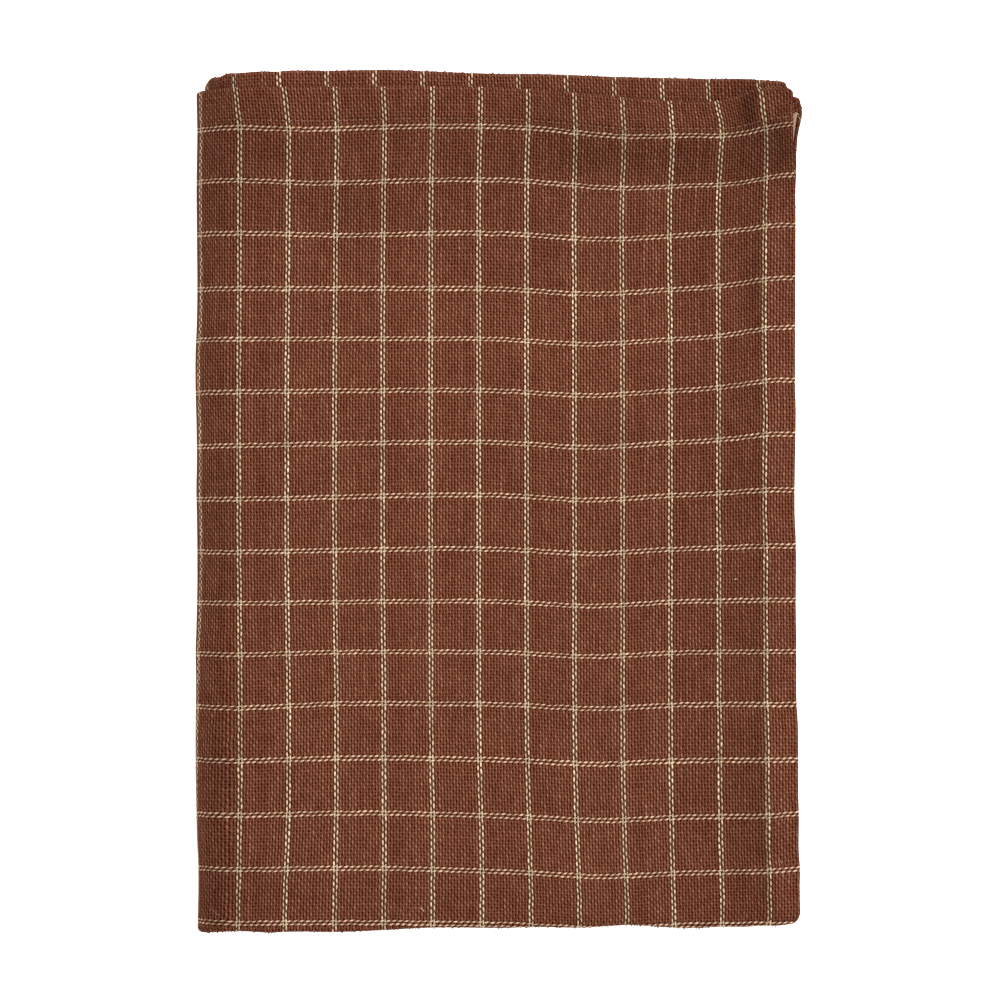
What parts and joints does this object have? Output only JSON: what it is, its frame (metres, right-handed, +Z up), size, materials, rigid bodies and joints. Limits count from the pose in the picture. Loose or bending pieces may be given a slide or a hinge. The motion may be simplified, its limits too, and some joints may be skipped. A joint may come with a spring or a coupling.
{
  "type": "folded tablecloth",
  "caption": "Coarse woven tablecloth with a thin double-line check, hemmed and folded into a flat rectangular stack.",
  "frame": {"origin": "middle of the folded stack's bounding box, on the surface that it lies on", "axes": "+X across the stack towards the open hemmed side, +Y along the stack towards the far folds and hems, +Z up"},
  "size_m": [0.2516, 0.359, 0.0389],
  "materials": {
    "cloth": "matte coarse plain weave",
    "tape": "matte woven tape"
  },
  "bodies": {
    "root": {"tablecloth": "cloth", "side_tab": "tape"}
  },
  "joints": []
}
